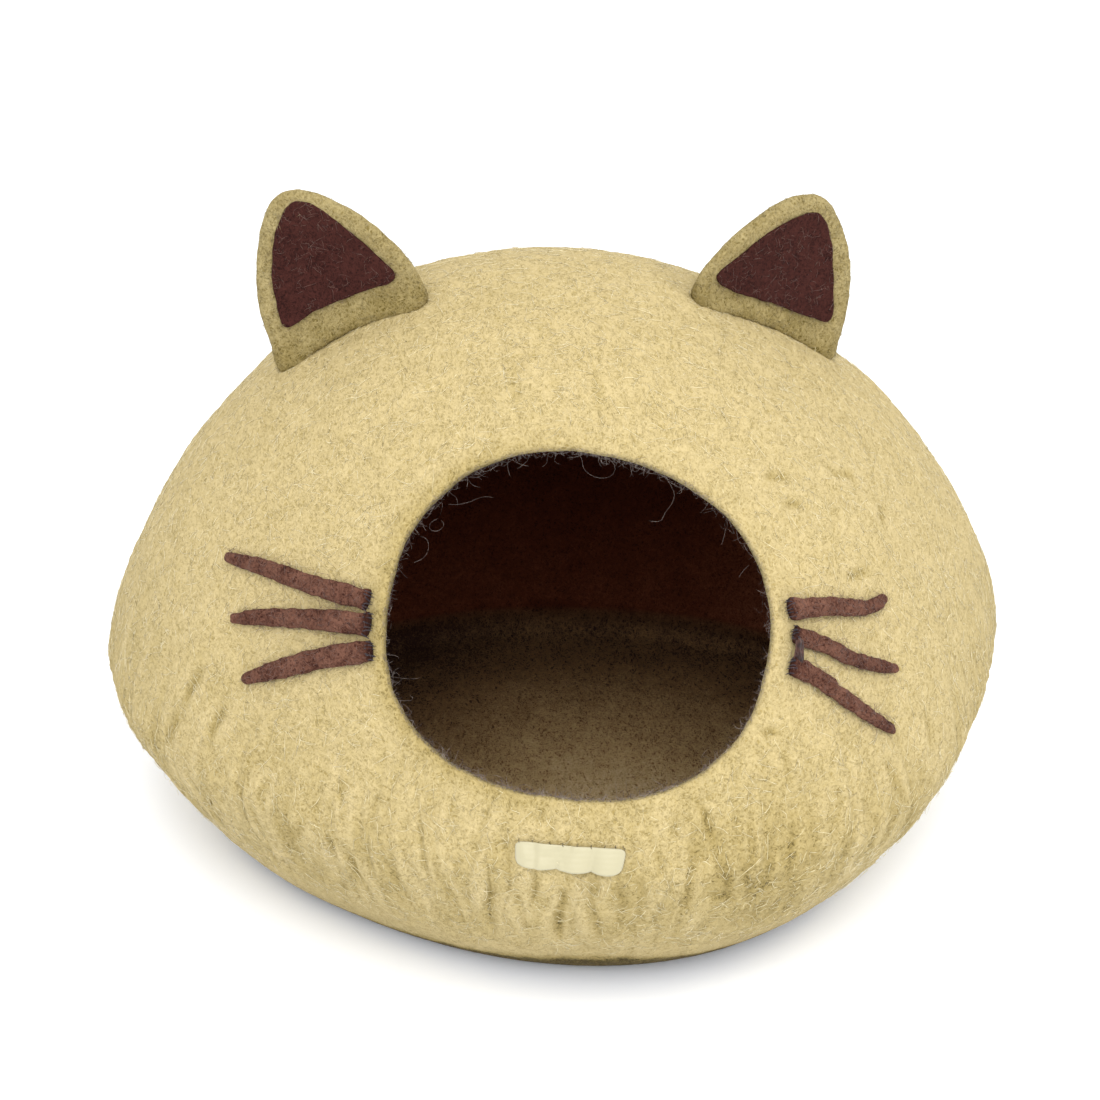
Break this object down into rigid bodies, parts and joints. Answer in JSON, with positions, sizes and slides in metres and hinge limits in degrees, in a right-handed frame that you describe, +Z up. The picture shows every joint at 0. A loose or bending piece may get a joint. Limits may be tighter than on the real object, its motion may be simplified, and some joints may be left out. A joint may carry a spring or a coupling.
{
  "type": "cat cave bed",
  "caption": "Felt cat cave bed: a hollow rounded pod on a flat bottom with a round mouth at the front, upright ears with dark patches, rolled whiskers and a small sewn label.",
  "frame": {"origin": "on the floor, under the middle of the bed's outline", "axes": "+Z up; the mouth faces -Y; +X to the right of someone who looks at the mouth"},
  "size_m": [0.4546, 0.4708, 0.3216],
  "materials": {
    "felt_cream": "wet-felted wool, matt and slightly hairy",
    "felt_dark": "dark brown wool felt, matt, the inside of the cave too",
    "felt_umber": "rolled brown wool felt, matt",
    "satin_cream": "cream woven satin, slightly glossy"
  },
  "bodies": {
    "root": {"shell": "felt_cream", "ear_left": "felt_cream", "ear_right": "felt_cream", "ear_patch_left": "felt_dark", "ear_patch_right": "felt_dark", "whisker_left_1": "felt_umber", "whisker_left_2": "felt_umber", "whisker_left_3": "felt_umber", "whisker_right_1": "felt_umber", "whisker_right_2": "felt_umber", "whisker_right_3": "felt_umber", "label": "satin_cream"}
  },
  "joints": []
}
